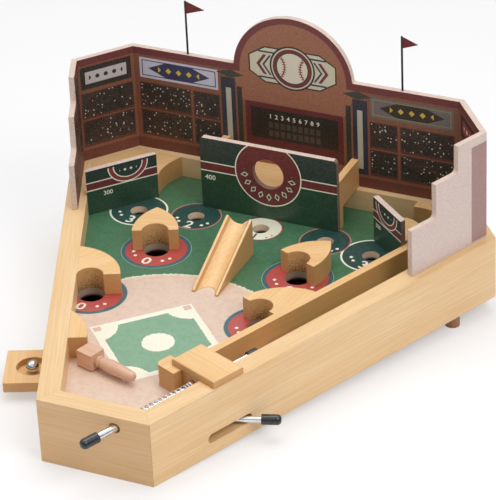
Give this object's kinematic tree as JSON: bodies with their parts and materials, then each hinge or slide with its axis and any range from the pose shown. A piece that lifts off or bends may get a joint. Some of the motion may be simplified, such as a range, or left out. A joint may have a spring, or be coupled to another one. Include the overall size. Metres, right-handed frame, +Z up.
{
  "type": "tabletop bagatelle game",
  "caption": "Fan-shaped wooden tabletop ball game with a spring plunger, a lever-worked bat, scoring holes, a jump ramp, a sliding ball tray and a printed stadium backdrop.",
  "frame": {"origin": "middle of the narrow flat on which the front wall's foot rests, on the table", "axes": "+Z up from the table, +Y away from the player towards the stadium, +X to the player's right"},
  "size_m": [0.442, 0.4834, 0.2501],
  "materials": {
    "pine_case": "satin lacquered pine",
    "pine_trim": "satin lacquered pine",
    "printed_board": "printed and lacquered board",
    "printed_panel": "printed thin board with bare edges",
    "hardboard": "plain hardboard",
    "foot_wood": "stained dowel",
    "bat_wood": "turned wood",
    "bright_steel": "polished",
    "plain_steel": "plain",
    "spring_steel": "bright drawn wire",
    "zinc_screw": "zinc plated",
    "ball_steel": "polished",
    "dark_rubber": "matte",
    "pennant_red": "printed"
  },
  "bodies": {
    "case": {"front_wall": "pine_case", "right_wall": "pine_case", "left_wall": "pine_case", "right_return_wall": "pine_case", "left_return_wall": "pine_case", "rear_wall": "pine_case", "playfield": "printed_board", "base_panel": "hardboard", "base_screws": "zinc_screw", "rear_foot_right": "foot_wood", "rear_foot_left": "foot_wood", "lane_divider": "pine_trim", "launcher_guide_block": "pine_trim", "plunger_guide_block": "pine_trim", "launcher_cap_plate": "pine_trim", "out_block_upper_left": "pine_trim", "out_block_upper_right": "pine_trim", "out_block_lower_left": "pine_trim", "out_block_lower_right": "pine_trim", "left_guide_block": "pine_trim", "ramp": "pine_trim", "home_run_wall": "printed_panel", "home_run_shelf": "pine_trim", "home_run_side_left": "pine_trim", "home_run_side_right": "pine_trim", "home_run_props": "pine_trim", "left_fence": "printed_panel", "left_corner_block": "pine_trim", "right_fence": "printed_panel", "fence_backing_block": "pine_trim", "right_corner_block": "pine_trim", "stadium_rear_panel": "printed_panel", "flagpole_left": "bright_steel", "flagpole_right": "bright_steel", "stadium_right_angled_panel": "printed_panel", "stadium_left_angled_panel": "printed_panel", "stadium_right_stepped_panel": "printed_panel", "stadium_left_stepped_panel": "printed_panel", "pennant_left": "pennant_red", "pennant_right": "pennant_red", "plunger_spring": "spring_steel", "lever_pivot_pin": "bright_steel", "tray_runner_rear": "pine_trim", "tray_runner_front": "pine_trim"},
    "plunger": {"plunger_rod": "bright_steel", "plunger_knob": "dark_rubber", "plunger_tip": "dark_rubber", "plunger_collar": "bright_steel"},
    "bat_assembly": {"bat": "bat_wood", "bat_shaft": "bright_steel", "bat_crank": "plain_steel", "crank_pin": "bright_steel"},
    "lever": {"lever_rod": "bright_steel", "lever_hub": "plain_steel", "lever_knob": "dark_rubber", "lever_fork": "plain_steel"},
    "tray": {"ball_tray": "pine_trim", "steel_ball": "ball_steel"}
  },
  "joints": [
    {"name": "plunger_pull", "type": "slide", "parent": "case", "child": "plunger", "axis": [-0.3939, -0.9183, -0.0395], "range_m": [0, 0.03], "stiffness_N_per_m": 120, "springref_m": -0.02, "deforming": ["plunger_spring"]},
    {"name": "lever_swing", "type": "hinge", "parent": "case", "child": "lever", "pos_m": [0.03, 0.07521, 0.01998], "axis": [0, -0.0429, 0.9991], "range_deg": [-32, 0]},
    {"name": "bat_swing", "type": "hinge", "parent": "case", "child": "bat_assembly", "pos_m": [-0.0505, 0.09029, 0.04635], "axis": [0, -0.0429, 0.9991], "range_deg": [0, 56]},
    {"name": "tray_slide", "type": "slide", "parent": "case", "child": "tray", "axis": [0.9191, 0.3936, 0.0169], "range_m": [0, 0.042]}
  ],
  "couplings": [
    {"joint": "bat_swing", "follows": "lever_swing", "ratio": -1.75}
  ]
}
